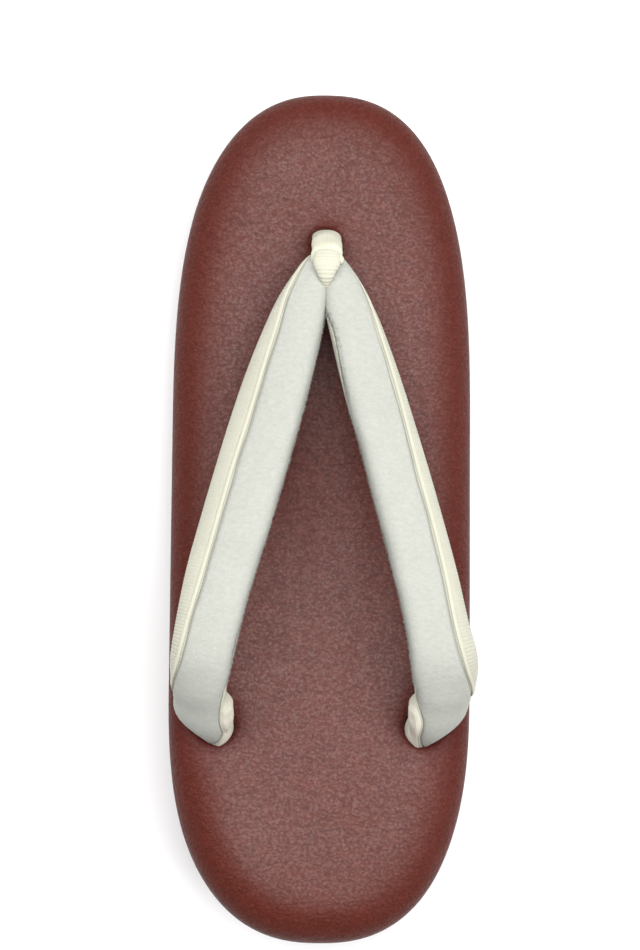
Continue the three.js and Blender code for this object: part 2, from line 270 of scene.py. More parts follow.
def piece(name, skins, material, replaces=None, values=None):
    """A smooth-shaded piece of the sandal from closed skins in millimetres. values are attributes, one
    number a point, for its material to read."""
    points, quads, fans, uv = joined(skins)
    mesh = bpy.data.meshes.new(name)
    mesh.vertices.add(len(points))
    mesh.vertices.foreach_set("co", (points * MM).astype(np.float32).ravel())
    loops = np.concatenate([quads.ravel(), fans.ravel()]).astype(np.int32)
    sizes = np.concatenate([np.full(len(quads), 4), np.full(len(fans), 3)])
    starts = np.concatenate([[0], np.cumsum(sizes)[:-1]])
    mesh.loops.add(len(loops))
    mesh.loops.foreach_set("vertex_index", loops)
    mesh.polygons.add(len(sizes))
    mesh.polygons.foreach_set("loop_start", starts.astype(np.int32))
    mesh.polygons.foreach_set("use_smooth", np.ones(len(sizes), bool))
    if uv is not None:
        layer = mesh.uv_layers.new(name="cloth")
        layer.uv.foreach_set("vector", uv[loops].astype(np.float32).ravel())
    for key, numbers in (values or {}).items():
        attribute = mesh.attributes.new(key, "FLOAT", "POINT")
        attribute.data.foreach_set("value", numbers.astype(np.float32))
    mesh.update(calc_edges=True)
    mesh.validate()
    mesh.materials.append(material)
    made = placed(name, mesh)
    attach(made, "root")
    if replaces:
        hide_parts(replaces)
    return made


# -------- materials


class Socket:
    """An output of a node. Arithmetic on it adds Math nodes to its material."""

    def __init__(self, finish, output):
        self.finish = finish
        self.output = output

    def math(self, operation, *values):
        return self.finish.node("ShaderNodeMath", {"operation": operation}, values)

    def __add__(self, other):
        return self.math("ADD", self, other)

    def __sub__(self, other):
        return self.math("SUBTRACT", self, other)

    def __rsub__(self, other):
        return self.math("SUBTRACT", other, self)

    def __mul__(self, other):
        return self.math("MULTIPLY", self, other)

    __radd__ = __add__
    __rmul__ = __mul__


class Finish:
    """A material with its node tree. Constants are set on the shader's own sockets."""

    def __init__(self, name, constants):
        self.material = bpy.data.materials.new(name)
        self.material.use_nodes = True
        self.tree = self.material.node_tree
        self.shader = next(n for n in self.tree.nodes if n.type == "BSDF_PRINCIPLED")
        for socket, value in constants.items():
            self.shader.inputs[socket].default_value = value

    def node(self, kind, settings=None, values=(), output=0):
        """Adds a node: its settings first, then the values or links of its sockets, by place or by name."""
        made = self.tree.nodes.new(kind)
        for name, value in (settings or {}).items():
            setattr(made, name, value)
        for key, value in values.items() if isinstance(values, dict) else enumerate(values):
            if isinstance(value, Socket):
                self.tree.links.new(value.output, made.inputs[key])
            else:
                made.inputs[key].default_value = value
        return Socket(self, made.outputs[output])

    def feed(self, name, socket):
        self.tree.links.new(socket.output, self.shader.inputs[name])

    def place(self):
        return self.node("ShaderNodeTexCoord", output="Object")

    def cloth(self):
        return self.node("ShaderNodeUVMap", {"uv_map": "cloth"})

    def attribute(self, name):
        return self.node("ShaderNodeAttribute", {"attribute_name": name}, output="Fac")

    def noise(self, where, cell, detail=2.0, roughness=0.5, output="Fac"):
        """Noise whose lumps are about one cell across, in metres."""
        values = {"Vector": where, "Scale": 1 / cell, "Detail": detail, "Roughness": roughness}
        return self.node("ShaderNodeTexNoise", None, values, output)

    def pebbles(self, where, cell, softness):
        """Rounded cells, each about one cell across in metres: 0 at its middle and higher at its border."""
        values = {"Vector": where, "Scale": 1 / cell, "Smoothness": softness, "Randomness": 1.0}
        return self.node("ShaderNodeTexVoronoi", {"feature": "SMOOTH_F1"}, values, "Distance")

    def cracks(self, where, cell):
        """Distance to the nearest border between cells about one cell across, in metres."""
        values = {"Vector": where, "Scale": 1 / cell, "Randomness": 1.0}
        return self.node("ShaderNodeTexVoronoi", {"feature": "DISTANCE_TO_EDGE"}, values, "Distance")

    def eased(self, value, start, end, low=0.0, high=1.0):
        """Value brought from start..end to low..high with soft ends."""
        values = [value, start, end, low, high]
        return self.node("ShaderNodeMapRange", {"interpolation_type": "SMOOTHSTEP"}, values)

    def warped(self, where, cell, reach):
        """Coordinates pushed about by noise, at most half of reach each way."""
        moved = self.noise(where, cell, output="Color")
        for operation, other in (("SUBTRACT", (0.5,) * 3), ("MULTIPLY", (reach,) * 3), ("ADD", where)):
            moved = self.node("ShaderNodeVectorMath", {"operation": operation}, [moved, other])
        return moved

    def stretched(self, where, scale, turn=(0.0, 0.0, 0.0)):
        values = {"Vector": where, "Rotation": turn, "Scale": scale}
        return self.node("ShaderNodeMapping", None, values)

    def mixed(self, amount, one, other):
        """Colour one where amount is 0 and the other where it is 1."""
        return self.node("ShaderNodeMix", {"data_type": "RGBA"}, {0: amount, 6: one, 7: other}, 2)

    def bump(self, height, distance, below=None):
        values = {"Strength": 1.0, "Distance": distance, "Height": height}
        if below is not None:
            values["Normal"] = below
        return self.node("ShaderNodeBump", None, values)


def paint(red, green, blue):
    """A linear colour from 0..255 screen values: ((v + 0.055) / 1.055) ** 2.4, and straight near black."""
    channels = [v / 255 for v in (red, green, blue)]
    return (*[v / 12.92 if v <= 0.04045 else ((v + 0.055) / 1.055) ** 2.4 for v in channels], 1.0)


def leather_finish(name, is_footbed):
    """Brown leather with a fine pebbled grain, soft wrinkles and a low sheen, its coat, on the tops of the
    grain. On the footbed it reads three attributes, all painted light: as edge rises, on the rounded rim,
    it is darker, redder and nearly without its coat, a painted shade of the sloping rim; round the holes a
    second one makes it darker still, a painted shade; and a third thins the coat for painted shade between
    the arms and thickens it for painted highlights on the heel and toe shoulders. On the side the coat is
    thin all over."""
    finish = Finish(name, {"Roughness": 0.5, "Specular IOR Level": 0.08, "Coat Roughness": 0.48})
    where = finish.place()
    bent = finish.warped(where, 0.0022, 0.0011)
    cells = finish.stretched(bent, (0.85, 1.2, 1.0))
    valley = finish.eased(finish.cracks(cells, 0.0012), 0.0, 0.3)
    dome = finish.eased(finish.pebbles(finish.warped(where, 0.0012, 0.0006), 0.001, 0.35), 0.6, 0.1)
    lump = finish.eased(finish.noise(cells, 0.001, 2.0, 0.6), 0.36, 0.64)
    crease = finish.eased(finish.cracks(finish.stretched(bent, (0.6, 1.2, 1.0)), 0.0052), 0.0, 0.1)
    fine = finish.noise(where, 0.00032, 3.0, 0.65)
    cloud = finish.noise(where, 0.014, 3.0, 0.55)
    hue = finish.noise(where, 0.0022)
    wrinkle = finish.eased(finish.noise(finish.stretched(bent, (0.5, 1.5, 1.0)), 0.0018), 0.3, 0.6)
    top = valley * 0.22 + dome * 0.33 + lump * 0.33 + wrinkle * 0.12
    body = finish.mixed(finish.eased(cloud, 0.3, 0.72), paint(90, 39, 30), paint(99, 44, 34))
    body = finish.mixed(finish.eased(hue, 0.35, 0.65) * 0.5, body, paint(104, 42, 24))
    colour = finish.mixed(top * 0.55 + crease * 0.2 + fine * 0.25, paint(66, 25, 19), body)
    sheen = finish.eased(top * 0.65 + fine * 0.35, 0.2, 0.8, 0.34, 1.0)
    if is_footbed:
        # Painted shade: the rounded rim is darker and redder, and keeps little of its coat.
        edge = finish.attribute("edge")
        rim = finish.mixed(top * 0.6 + fine * 0.4, paint(66, 25, 18), paint(97, 43, 34))
        colour = finish.mixed(edge, colour, rim)
        # Painted shade round the holes: the leather darkens to a deep red.
        colour = finish.mixed(finish.attribute("painted_hole_shade"), colour, paint(70, 20, 18))
        # The coat thinned on the rim and between the arms for painted shade, thickened for painted
        # highlights.
        painted_light_coat_scale = (1 - edge * 0.85) * (1 - finish.attribute("coat_painted_light") * 0.42)
        sheen = sheen.math("MINIMUM", sheen * painted_light_coat_scale, 1.0)
    else:
        sheen = sheen * 0.4
    finish.feed("Base Color", colour)
    finish.feed("Coat Weight", sheen)
    height = valley * 0.25 + dome * 0.35 + lump * 0.35 + wrinkle * 0.28 + crease * 0.3 + fine * 0.3
    first = finish.bump(finish.noise(where, 0.009), 0.0007)
    finish.feed("Normal", finish.bump(height, 0.00021, first))
    return finish.material


def suede_finish():
    """Pale grey suede: a short nap that lies in patches, with a soft sheen at grazing angles."""
    constants = {"Roughness": 0.95, "Specular IOR Level": 0.15, "Sheen Weight": 0.08, "Sheen Roughness": 0.5}
    finish = Finish("grey_suede", constants)
    where = finish.place()
    bent = finish.warped(where, 0.003, 0.002)
    nap = finish.noise(bent, 0.00035, 3.0, 0.65)
    brushed = finish.stretched(bent, (0.7, 1.3, 1.0), (0.0, 0.0, 0.6))
    patch = finish.noise(brushed, 0.0012, 3.0, 0.6)
    cloud = finish.noise(where, 0.009)
    tone = patch * 0.45 + nap * 0.45 + cloud * 0.1
    colour = finish.mixed(finish.eased(tone, 0.25, 0.75), paint(160, 162, 154), paint(178, 179, 172))
    # Painted shade along the seam grooves: the suede turns darker and a little yellower near each seam.
    colour = finish.mixed(finish.attribute("seam"), colour, paint(126, 123, 108))
    finish.feed("Base Color", colour)
    finish.feed("Normal", finish.bump(nap * 0.5 + patch * 0.8, 0.00022))
    return finish.material


def cloth_finish(name, light, dark, thread, gather_tone_and_light=None):
    """Cream cloth woven on its own map, whose u runs along the piece and v across it, both in metres. Where
    the attribute pale is high it takes the colour of the drawn-in rear ends: their pinkish tone, made lighter
    as painted light on folds that face sideways into shade."""
    constants = {"Roughness": 0.85, "Specular IOR Level": 0.25, "Sheen Weight": 0.2, "Sheen Roughness": 0.4}
    finish = Finish(name, constants)
    where, weave = finish.place(), finish.cloth()
    bands = {"wave_type": "BANDS", "wave_profile": "SIN"}
    values = {"Vector": weave, "Scale": math.pi / 10 / thread, "Distortion": 0.6, "Detail": 1.0}
    warp = finish.node("ShaderNodeTexWave", bands | {"bands_direction": "Y"}, values, "Fac")
    weft = finish.node("ShaderNodeTexWave", bands | {"bands_direction": "X"}, values, "Fac")
    fuzz = finish.noise(where, 0.0003, 2.0, 0.6)
    stain = finish.noise(where, 0.006)
    tone = warp * 0.25 + weft * 0.25 + fuzz * 0.3 + stain * 0.2
    colour = finish.mixed(finish.eased(tone, 0.25, 0.75), dark, light)
    if gather_tone_and_light:
        colour = finish.mixed(finish.attribute("pale") * 0.85, colour, gather_tone_and_light)
    finish.feed("Base Color", colour)
    finish.feed("Normal", finish.bump(warp * 0.4 + weft * 0.4 + fuzz * 0.3, 0.00006))
    return finish.material


def rubber_finish():
    """Dark brown sole rubber, moulded with a fine matt skin."""
    finish = Finish("dark_rubber", {"Roughness": 0.7, "Specular IOR Level": 0.4})
    where = finish.place()
    skin = finish.noise(where, 0.0004, 3.0, 0.6)
    dust = finish.noise(where, 0.02, 3.0, 0.6)
    worn = finish.eased(dust * 0.6 + skin * 0.4, 0.3, 0.7)
    colour = finish.mixed(worn, paint(46, 33, 30), paint(66, 50, 45))
    finish.feed("Base Color", colour)
    finish.feed("Roughness", finish.eased(skin, 0.2, 0.8, 0.62, 0.8))
    finish.feed("Normal", finish.bump(skin, 0.00008))
    return finish.material


LEATHER = leather_finish("brown_leather", is_footbed=True)
SIDE_LEATHER = leather_finish("brown_leather_side", is_footbed=False)
SUEDE = suede_finish()
# The drawn-in rear ends' pinkish cream, made lighter as painted light where their folds face into shade.
GATHER_TONE_AND_LIGHT = paint(216, 209, 194)
LINING = cloth_finish("cream_lining", paint(190, 190, 176), paint(172, 170, 154), 0.00022, GATHER_TONE_AND_LIGHT)
PIPING_CLOTH = cloth_finish("cream_piping", paint(198, 197, 180), paint(184, 182, 164), 0.0003)
# A lighter copy of the piping cloth: painted light on the thong, which lies partly in the arms' shade.
EDGING = cloth_finish("cream_thong", paint(206, 205, 187), paint(190, 188, 168), 0.0003)
RUBBER = rubber_finish()

# -------- the sole

TOE_POINTS, SIDE_POINTS, HEEL_POINTS = 108, 70, 102


def end_quarter(end, direction, angles, inset):
    """Points on a quarter of a superellipse, inset inside the outline: x goes as the cosine of the angle,
    and y as its sine, to the power 2 over the end's power across or along the sandal. Angle 0 is at the side
    and a quarter turn at the end."""
    reach = HALF_LENGTH - direction * end["centre_y"] - inset
    x = (HALF_WIDTH - inset) * np.abs(np.cos(angles)) ** (2 / end["across"])
    y = end["centre_y"] + direction * reach * np.sin(angles) ** (2 / end["along"])
    return np.stack([x, y], axis=-1)


def lean(y):
    """How far the outline stands to the right of the middle: a little everywhere, more at toe and heel."""
    return 0.25 + 0.5 * smooth_share(np.abs(y), 85, HALF_LENGTH)


def outline(insets):
    """Plan rings at the insets: down the right side from the tip of the toe and back up the left side."""
    inset = np.asarray(insets, float)[:, None]
    toe_angles = QUARTER * (1 - np.arange(TOE_POINTS) / TOE_POINTS)
    toe = end_quarter(TOE, 1, toe_angles[None], inset)
    y = np.linspace(TOE["centre_y"], HEEL["centre_y"], SIDE_POINTS, endpoint=False)[None]
    side = np.stack([HALF_WIDTH - inset + 0 * y, y + 0 * inset], axis=-1)
    heel = end_quarter(HEEL, -1, np.linspace(0, QUARTER, HEEL_POINTS + 1)[None], inset)
    right = np.concatenate([toe, side, heel], axis=1)
    right[:, [0, -1], 0] = 0
    left = right[:, -2:0:-1] * np.array([-1, 1])
    plan = np.concatenate([right, left], axis=1)
    plan[..., 0] += lean(plan[..., 1])
    return plan


def shrunk(ring, scales):
    """Copies of one plan ring, drawn in towards the middle of the sandal by each scale."""
    return ring[None] * np.asarray(scales, float)[:, None, None]


def raised(plan, surface, lift=0.0):
    """Plan rings as points on a surface, whose height goes by y, or lifted above it."""
    heights = surface(plan[..., 1]) + lift
    return np.concatenate([plan, heights[..., None]], axis=-1)


def hole_distance(x, y, hole):
    """A superellipse's own distance from the middle of a hole, or of the nearer of a pair, 1 on its rim."""
    turn = math.radians(hole["turn"])
    dx, dy = (np.abs(x) if hole["pair"] else x) - hole["x"], y - hole["y"]
    long = (dx * math.cos(turn) + dy * math.sin(turn)) / hole["long"]
    short = (dy * math.cos(turn) - dx * math.sin(turn)) / hole["short"]
    return (np.abs(long) ** SECTION_POWER + np.abs(short) ** SECTION_POWER) ** (1 / SECTION_POWER)


RIM_BAND = 0.34  # width of the band, in a hole's own distance, in which points are drawn up to its rim


def pierced(points):
    """Sinks the holes into the top of the footbed. Points near a rim move in plan towards it, by the square
    of their distance, so that the rim is smooth. Outside it the leather rolls over the lip and dips. It
    also returns a painted shade round each hole, from 0 to 1, for the leather to darken by."""
    out = points.copy()
    painted_hole_shade = np.zeros(points.shape[:-1])
    for hole in (REAR_HOLE, TOE_HOLE):
        x, y = out[..., 0].copy(), out[..., 1].copy()
        rho = hole_distance(x, y, hole)
        middle = np.where((x < 0) & hole["pair"], -hole["x"], hole["x"])
        near = np.clip(np.abs(rho - 1) / RIM_BAND, 0, 1)
        wanted = 1 + np.sign(rho - 1) * RIM_BAND * near**2
        moved = np.where(np.abs(rho - 1) < RIM_BAND, wanted, rho) / np.maximum(rho, 1e-6)
        inside_core = rho < 1 - RIM_BAND
        moved = np.where(inside_core, 1.0, moved)
        out[..., 0] = middle + (x - middle) * moved
        out[..., 1] = hole["y"] + (y - hole["y"]) * moved
        rho = np.where(inside_core, rho, rho * moved)
        size = (hole["long"] + hole["short"]) / 2
        gap = np.maximum(rho - 1, 0) * size
        dip = hole["dip"] * np.exp(-((gap / hole["reach"] * 2.0) ** 1.5))
        lip = LIP * np.exp(-((gap / LIP) ** 1.3))
        wall = hole["depth"] * smooth_share(1 - rho, 0.0, 0.06)
        out[..., 2] -= dip + lip + wall
        # Painted shade round the hole, falling off with the gap from its rim.
        painted_hole_shade = np.maximum(painted_hole_shade, np.exp(-gap / (0.45 * hole["reach"])))
    return out, painted_hole_shade


def lowland(x, y, scales):
    """Slow unevenness of the footbed: two long waves of sines, each less than a tenth of a millimetre high,
    and a dish inside the rounded rim, so that the rim stands as a faint ridge."""
    waves = 0.07 * np.sin(x / 9.0 + 0.6) * np.sin(y / 17.0) + 0.05 * np.sin(x / 5.0 + y / 11.0)
    return waves - DISH["depth"] * (1 - smooth_share(scales, DISH["floor"], DISH["edge"]))[:, None]


RIM_SHADE = (3.5, 17.5)  # how far in from the outline the leather goes from its painted rim shade to its own colour
# Painted light carried in the leather's coat: the coat is thinned for painted shade between the arms, and
# thickened below 0 for painted highlights on the heel and toe shoulders: strength, middle x and y, reach
# across and along.
COAT_PAINTED_LIGHT = [(1.0, -4, 12, 12, 26), (-0.4, -2, -93, 24, 9), (-0.55, -20, -89, 9, 11), (-0.3, -15, 98, 12, 7)]


def footbed():
    """Leather-covered pad, as a stack of rings: flat base, a quarter ellipse out to the widest line, a
    quarter ellipse for the shoulder, then rings drawn in to the middle over a low crown."""
    under_scales = np.linspace(0.03, 1, 14)
    base = shrunk(outline([FOOTBED_BASE_INSET])[0], under_scales)
    rings = [raised(base, surface_at, -FOOTBED_THICKNESS)]
    roll = np.linspace(0, QUARTER, 8)[1:]
    widest = -SHOULDER["height"]
    lower = outline(FOOTBED_BASE_INSET * (1 - np.sin(roll)))
    drop = widest + (FOOTBED_THICKNESS + widest) * -np.cos(roll)
    rings.append(raised(lower, surface_at, drop[:, None]))
    turn = np.linspace(0, QUARTER, 27)[1:]
    upper = outline(SHOULDER["width"] * (1 - np.cos(turn)))
    rise = widest + SHOULDER["height"] * np.sin(turn)
    rings.append(raised(upper, surface_at, rise[:, None]))
    scales = np.concatenate([np.linspace(1, 0.6, 66)[1:], np.linspace(0.6, 0.012, 30)[1:]])
    top = shrunk(upper[-1], scales)
    lift = CROWN * np.sin(QUARTER * (1 - scales))[:, None]
    rings.append(raised(top, surface_at, lift + lowland(top[..., 0], top[..., 1], scales)))
    under = len(under_scales) + len(roll)
    stack = np.concatenate(rings)
    pierced_part, painted_hole_shade_part = pierced(stack[under:])
    stack = np.concatenate([stack[:under], pierced_part])
    # Painted shade round the holes, at three quarters, and none on the underside.
    painted_hole_shade = np.concatenate([np.zeros((under, stack.shape[1])), 0.75 * painted_hole_shade_part])
    ring = upper[-1]
    tangent = unit(np.roll(ring, -1, axis=0) - np.roll(ring, 1, axis=0))
    reach = np.abs(ring[:, 0] * tangent[:, 1] - ring[:, 1] * tangent[:, 0])
    on_shoulder = np.concatenate([np.zeros(under), SHOULDER["width"] * (1 - np.cos(turn))])
    from_rim = [on_shoulder[:, None] + 0 * reach, SHOULDER["width"] + (1 - scales)[:, None] * reach]
    # Painted shade on the rounded rim: 1 at the outline, fading to 0 over RIM_SHADE.
    edge = 1 - smooth_share(np.concatenate(from_rim), *RIM_SHADE)
    # Painted shade between the arms and painted highlights on the heel and toe shoulders, for the coat.
    thin = np.zeros(stack.shape[:2])
    for strength, x, y, wide, long in COAT_PAINTED_LIGHT:
        thin += strength * np.exp(-((stack[..., 0] - x) / wide) ** 2 - ((stack[..., 1] - y) / long) ** 2)
    values = {"painted_hole_shade": with_tips(painted_hole_shade), "edge": with_tips(edge, first=1), "coat_painted_light": with_tips(thin)}
    made = piece("footbed_cover", [closed_skin(stack)], LEATHER, "footbed", values)
    return made


def side_wrap():
    """Leather-wrapped wedge between outsole and footbed: its side leans in towards the floor and swells a
    little at mid height, rounds over at both edges, and has a butt seam at the middle of the heel."""
    scales = np.linspace(0.03, 0.985, 12)
    foot, roof, edge, edge_share = SIDE["foot_inset"], SIDE["roof_inset"], SIDE["edge"], SIDE["edge_share"]
    low = shrunk(outline([foot + edge])[0], scales)
    high = shrunk(outline([roof + edge])[0], scales[::-1])

    def floor_of(y):
        return ground_at(y) + OUTSOLE_THICKNESS + SEAM_GAP

    def roof_of(y):
        return surface_at(y) - FOOTBED_THICKNESS - SEAM_GAP

    turn = np.linspace(0, QUARTER, 5)
    low_f, high_f = edge_share * (1 - np.cos(turn)), 1 - edge_share * (1 - np.sin(turn))
    f = np.concatenate([low_f, np.linspace(0.05, 0.95, 30), high_f])
    into_edge = np.clip(1 - np.minimum(f, 1 - f) / edge_share, 0, 1)
    rounded = edge * (1 - np.sqrt(1 - into_edge**2))
    insets = foot + (roof - foot) * f + rounded - SIDE["swell"] * np.sin(math.pi * f)
    wall = outline(insets)
    side = raised(wall, floor_of, (roof_of(wall[..., 1]) - floor_of(wall[..., 1])) * f[:, None])
    seam = HEEL_SEAM["depth"] * np.exp(-((wall[..., 0] / HEEL_SEAM["half_width"]) ** 2))
    side[..., 1] += seam * (wall[..., 1] < 0)
    stack = np.concatenate([raised(low, floor_of), side, raised(high, roof_of)])
    return piece("side_wrap", [closed_skin(stack)], SIDE_LEATHER, "midsole")


TREAD = {"height": 0.7, "rim": 5.5, "pitch": 4.4, "width": 2.5, "wave": 1.1, "wavelength": 13.0}
# The outsole's rim from the sunk underside, over the line it stands on, to its top: inset and height.
OUTSOLE_RIM = [
    (TREAD["rim"] + 0.25, 0.45), (TREAD["rim"], 0.05), (4.7, 0.0), (4.4, 0.04), (3.75, 0.45), (3.3, 0.95),
    (3.15, 1.3), (3.05, 2.0), (3.0, 3.0), (3.05, 3.38), (3.3, OUTSOLE_THICKNESS),
]
OUTSOLE_TOP_INSET = 3.5


def outsole():
    """Thin rubber sole: a bevelled rim round an underside that is sunk by the height of the tread."""
    under_scales = np.linspace(0.03, 1, 26)
    sunk = shrunk(outline([TREAD["rim"] + 0.6])[0], under_scales)
    insets, heights = np.transpose(OUTSOLE_RIM)
    rim = outline(insets)
    top = shrunk(outline([OUTSOLE_TOP_INSET])[0], under_scales[::-1])
    stack = np.concatenate([
        raised(sunk, ground_at, TREAD["height"]),
        raised(rim, ground_at, heights[:, None]),
        raised(top, ground_at, OUTSOLE_THICKNESS),
    ])
    return piece("outsole_rubber", [closed_skin(stack)], RUBBER, "outsole")


def half_width_at(y, inset):
    """Half the width of the plan at y, inset inside the outline: the straight side's, less at toe and heel by
    a superellipse's x."""
    toe = share(y, TOE["centre_y"], HALF_LENGTH - inset)
    heel = share(-y, -HEEL["centre_y"], HALF_LENGTH - inset)
    x = (1 - toe ** TOE["along"]) ** (1 / TOE["across"]) * (1 - heel ** HEEL["along"]) ** (1 / HEEL["across"])
    return (HALF_WIDTH - inset) * x


def outsole_tread():
    """Wavy bars across the sole: each is a rounded bar swept across the width, with y on a cosine wave."""
    inset = TREAD["rim"] + 1.2
    reach = HALF_LENGTH - inset - 2.5
    tall = TREAD["height"] + 0.2
    bars = []
    angles = np.linspace(0, 2 * math.pi, 12, endpoint=False)
    for middle in np.arange(-reach, reach, TREAD["pitch"]):
        ends = half_width_at(middle, inset)
        x = np.linspace(-ends, ends, 64)
        y = middle + TREAD["wave"] * np.cos(2 * math.pi * x / TREAD["wavelength"])
        taper = np.sqrt(np.clip(1 - (np.abs(x) / ends) ** 14, 0.04, 1))
        across = signed_power(np.cos(angles), 0.5) * TREAD["width"] / 2 * taper[:, None]
        up = signed_power(np.sin(angles), 0.5) * tall / 2
        z = ground_at(y)[:, None] + tall / 2 + up[None]
        points = np.stack([x[:, None] + lean(middle) + 0 * across, y[:, None] + across, z], axis=-1)
        bars.append(closed_skin(points))
    return piece("outsole_tread", bars, RUBBER)


# -------- the straps


class Sweep:
    """A padded tube through a table of sections: the middle, the unit vectors across it, on its face and
    along it, half its width, its thickness, and the length along its middle, at each place t counted in
    rows. hand is -1 where across points to the left, so that the face is still on top."""

    def __init__(self, t, centre, across, half_width, thick, power=SECTION_POWER, hand=1):
        self.t = t
        self.power = power
        self.centre = centre
        self.across = across
        self.half_width = half_width
        self.thick = thick
        self.path = unit(np.gradient(centre, axis=0))
        self.face = hand * unit(np.cross(self.path, across))
        steps = np.linalg.norm(np.diff(centre, axis=0), axis=1)
        self.length = np.concatenate([[0], np.cumsum(steps)])

    def at(self, angle, grow=0.0, rows=slice(None)):
        """Points at angles round each section, 0 at the outer edge, a quarter turn on the face and half a
        turn at the inner edge: across goes as the cosine and up as the sine, each to the power 2 / p."""
        across = signed_power(np.cos(angle), 2 / self.power)
        up = signed_power(np.sin(angle), 2 / self.power)
        depth = self.thick[rows, None] * np.where(up > 0, FACE_SHARE, 1 - FACE_SHARE)
        wide = (across * (self.half_width[rows, None] + grow))[..., None]
        high = (up * (depth + grow))[..., None]
        return self.centre[rows, None] + wide * self.across[rows, None] + high * self.face[rows, None]

    def seam_angle(self, shares):
        """The angle at which the tube, seen from above, has come the given share of its width from its inner
        side: read off between samples of the angle, from beyond the inner edge to past the outer."""
        samples = np.linspace(1.35 * math.pi, -0.35 * math.pi, 240)
        plan = self.across[:, :2] / np.linalg.norm(self.across[:, :2], axis=1, keepdims=True)
        reach = np.einsum("tap,tp->ta", self.at(samples)[..., :2], plan)
        first, last = reach.argmin(1), reach.argmax(1)
        rows = np.arange(len(shares))
        low, high = reach[rows, first], reach[rows, last]
        wanted = low + np.clip(shares, 0, 1) * (high - low)
        order = np.arange(len(samples))[None]
        passed = (reach >= wanted[:, None]) & (order >= first[:, None])
        k = np.clip(passed.argmax(1), 1, None)
        part = (wanted - reach[rows, k - 1]) / np.maximum(reach[rows, k] - reach[rows, k - 1], 1e-9)
        angle = samples[k - 1] + np.clip(part, 0, 1) * (samples[k] - samples[k - 1])
        beyond = np.minimum(shares, 0) * -6.0 - np.maximum(shares - 1, 0) * 6.0
        return angle + beyond


def strap_sweep(side, count):
    """The right arm for side 1 and the left for -1. Each section lies between its inner and outer edge, and
    its height wavers a little, by two sines."""
    t = np.linspace(0, len(ARM) - 1, count)
    in_x, in_y, in_h, out_x, out_y, out_h, thick = along(ARM, t)
    outer_seam, inner_seam, wider, inner_out = along(RIGHT_SEAMS if side == 1 else LEFT_SEAMS, t)
    inner = np.stack([side * (in_x + inner_out), in_y, surface_at(in_y) + in_h], axis=-1)
    outer = np.stack([side * (out_x + wider), out_y, surface_at(out_y) + out_h], axis=-1)
    span = outer - inner
    centre = (inner + outer) / 2
    centre[:, 2] += 0.12 * np.sin(t * 2.1 + side) + 0.08 * np.sin(t * 4.7)
    sweep = Sweep(t, centre, unit(span), np.linalg.norm(span, axis=1) / 2, thick, hand=side)
    sweep.outer_seam = sweep.seam_angle(outer_seam)
    sweep.inner_seam = sweep.seam_angle(inner_seam)
    return sweep


def arc_lengths(points):
    """Length round each section up to each point."""
    steps = np.linalg.norm(np.diff(points, axis=1), axis=-1)
    return np.concatenate([np.zeros((len(points), 1)), np.cumsum(steps, axis=1)], axis=1)


MM_PER_RADIAN = 8.0  # about how far apart points a radian apart round a strap lie


def strap_face(side, name):
    """Suede tube with its padding: full size on the face between the seams, sunk under the lining, with a
    groove a millimetre and a half wide along each seam, and small dents where the padding gives."""
    sweep = strap_sweep(side, 330)
    outer, inner = sweep.outer_seam[:, None], sweep.inner_seam[:, None]
    s = np.linspace(0, 1, 84)[None]
    top = outer + (inner - outer) * (s - 0.06 * np.sin(2 * math.pi * s))
    u = np.linspace(0, 1, 34)[None, 1:-1]
    under = inner + (outer + 2 * math.pi - inner) * u
    angle = np.concatenate([top, under], axis=1)
    from_outer = (angle[:, : s.size] - outer) * MM_PER_RADIAN
    from_inner = (inner - angle[:, : s.size]) * MM_PER_RADIAN
    groove = GROOVE["outer"] * np.exp(-((from_outer / 0.8) ** 2))
    groove += GROOVE["inner"] * np.exp(-((from_inner / 0.9) ** 2))
    length = sweep.length[:, None]
    dents = 0.10 * np.sin(length / 5.3 + 3 * s) * np.sin(length / 13.0 + side)
    dents += 0.05 * np.sin(length / 2.4 + 9 * s)
    sunk = np.full((len(sweep.t), u.size), -0.95)
    grow = np.concatenate([0.1 - groove + dents, sunk], axis=1)
    points = sweep.at(angle, grow)
    # Painted shade along the seams of the face, strongest at the outer seam.
    seam = np.zeros(points.shape[:2])
    seam[:, : s.size] = 0.6 * np.exp(-((from_outer / 0.4) ** 2)) + 0.1 * np.exp(-((from_inner / 0.6) ** 2))
    made = piece(name, [closed_skin(points)], SUEDE, "straps", {"seam": with_tips(seam)})
    return made


# The fibres: how many, their size, the places along the sweep and the angles in from the seam between which
# they stand, how far they lean at random, and the seed.
NAP = {"count": 3800, "radius": 0.1, "length": (0.3, 0.9), "rows": (12, 234), "angles": (0.02, 0.5)}
NAP |= {"lean": 0.55, "seed": 7}


def strap_nap(side, name):
    """Loose fibres of the suede along its inner side: thin three-sided spikes, closed at the foot, leaning at
    random from the surface."""
    sweep = strap_sweep(side, 330)
    random = np.random.default_rng(NAP["seed"] + side)
    count = NAP["count"]
    row = random.integers(*NAP["rows"], count)
    angle = sweep.inner_seam[row] - random.uniform(*NAP["angles"], count)
    foot = sweep.at(angle[:, None], rows=row)[:, 0] - 0.05 * sweep.face[row]
    stance = unit(foot - sweep.centre[row]) + random.normal(0, NAP["lean"], (count, 3))
    size = random.uniform(*NAP["length"], count)[:, None]
    tip = foot + unit(stance) * size
    first = unit(np.cross(stance, sweep.path[row]))
    second = unit(np.cross(stance, first))
    turns = np.arange(3) * 2 * math.pi / 3
    ring = np.cos(turns)[:, None] * first[:, None] + np.sin(turns)[:, None] * second[:, None]
    base = foot[:, None] + NAP["radius"] * ring
    points = np.concatenate([base, tip[:, None]], axis=1).reshape(-1, 3)
    start = np.arange(count)[:, None, None] * 4
    faces = np.array([[0, 1, 3], [1, 2, 3], [2, 0, 3], [2, 1, 0]])[None] + start
    spikes = (points, np.zeros((0, 4), int), faces.reshape(-1, 3), None)
    return piece(name, [spikes], SUEDE, None, {"seam": np.zeros(len(points))})


